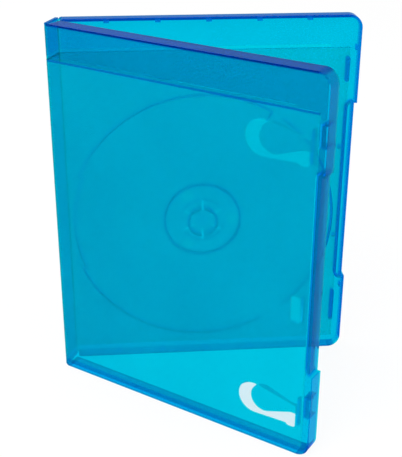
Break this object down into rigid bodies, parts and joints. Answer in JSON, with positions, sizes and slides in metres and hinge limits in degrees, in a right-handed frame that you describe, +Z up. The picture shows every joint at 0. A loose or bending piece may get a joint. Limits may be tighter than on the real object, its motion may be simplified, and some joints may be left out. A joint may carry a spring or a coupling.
{
  "type": "hinged optical disc case",
  "caption": "Slim see-through blue plastic disc case standing open on its bottom edge, with a disc tray and hub, spine, booklet clips and a clear outer sleeve.",
  "frame": {"origin": "middle of the bottom face of the back tray, on which the case stands", "axes": "+Z up along the height of the case, +Y out through the film face of the back tray, +X along the tray from its hinge to its opening edge"},
  "size_m": [0.1394, 0.0933, 0.1715],
  "materials": {
    "case_plastic": "glossy see-through blue polypropylene",
    "sleeve_film": "clear soft sleeve film"
  },
  "bodies": {
    "tray": {"back_tray": "case_plastic", "film_back": "sleeve_film"},
    "spine": {"spine": "case_plastic", "film_spine": "sleeve_film"},
    "cover": {"front_cover": "case_plastic", "film_front": "sleeve_film"},
    "hub": {"hub_button": "case_plastic"},
    "clip_upper": {"clip_upper": "case_plastic"},
    "clip_lower": {"clip_lower": "case_plastic"}
  },
  "joints": [
    {"name": "rear_hinge", "type": "hinge", "parent": "tray", "child": "spine", "pos_m": [-0.0678, 0.0021, 0], "axis": [0, 0, 1], "range_deg": [-66.4, 23.6]},
    {"name": "front_hinge", "type": "hinge", "parent": "spine", "child": "cover", "pos_m": [-0.07252, -0.00871, 0], "axis": [0, 0, 1], "range_deg": [-76.3, 13.7]},
    {"name": "hub_press", "type": "slide", "parent": "tray", "child": "hub", "axis": [0, 1, 0], "range_m": [0, 0.0012], "stiffness_N_per_m": 3000},
    {"name": "clip_upper_flex", "type": "hinge", "parent": "cover", "child": "clip_upper", "pos_m": [0.03022, -0.08334, 0.1413], "axis": [0, 0, -1], "range_deg": [0, 8], "stiffness_Nm_per_rad": 0.05},
    {"name": "clip_lower_flex", "type": "hinge", "parent": "cover", "child": "clip_lower", "pos_m": [0.03022, -0.08334, 0.0206], "axis": [0, 0, -1], "range_deg": [0, 8], "stiffness_Nm_per_rad": 0.05}
  ]
}
